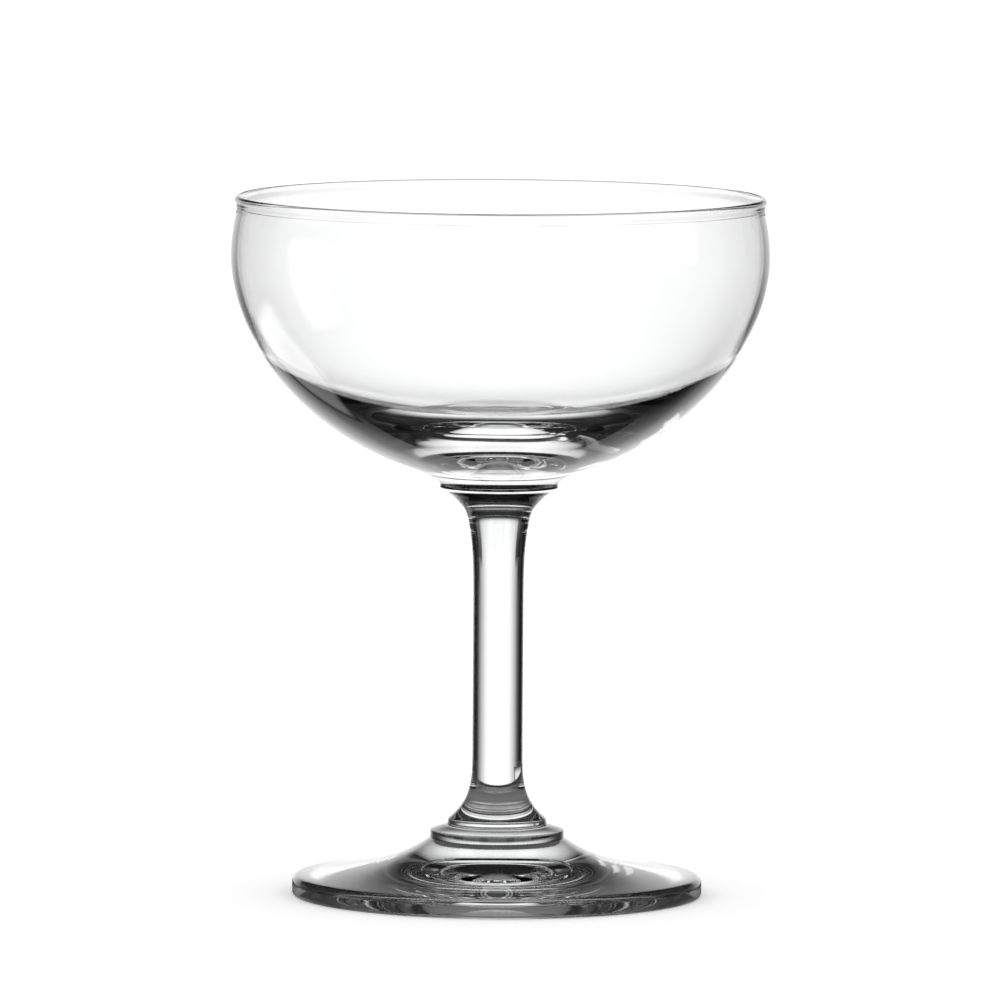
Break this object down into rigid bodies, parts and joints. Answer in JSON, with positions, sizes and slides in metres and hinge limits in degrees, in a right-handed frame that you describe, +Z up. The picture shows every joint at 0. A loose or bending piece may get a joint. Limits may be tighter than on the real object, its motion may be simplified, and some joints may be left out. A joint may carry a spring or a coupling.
{
  "type": "coupe glass",
  "caption": "Clear coupe glass with a wide rounded bowl, a thick glass floor, a slim flared stem and a round pressed foot.",
  "frame": {"origin": "centre of the ring that the foot stands on, on the table plane", "axes": "+Z up along the glass's axis of symmetry, from the foot to the rim"},
  "size_m": [0.094, 0.094, 0.122],
  "materials": {
    "bowl_glass": "fire-polished, clear",
    "stem_glass": "fire-polished, clear",
    "foot_glass": "fire-polished, clear"
  },
  "bodies": {
    "root": {"bowl": "bowl_glass", "stem": "stem_glass", "foot": "foot_glass"}
  },
  "joints": []
}
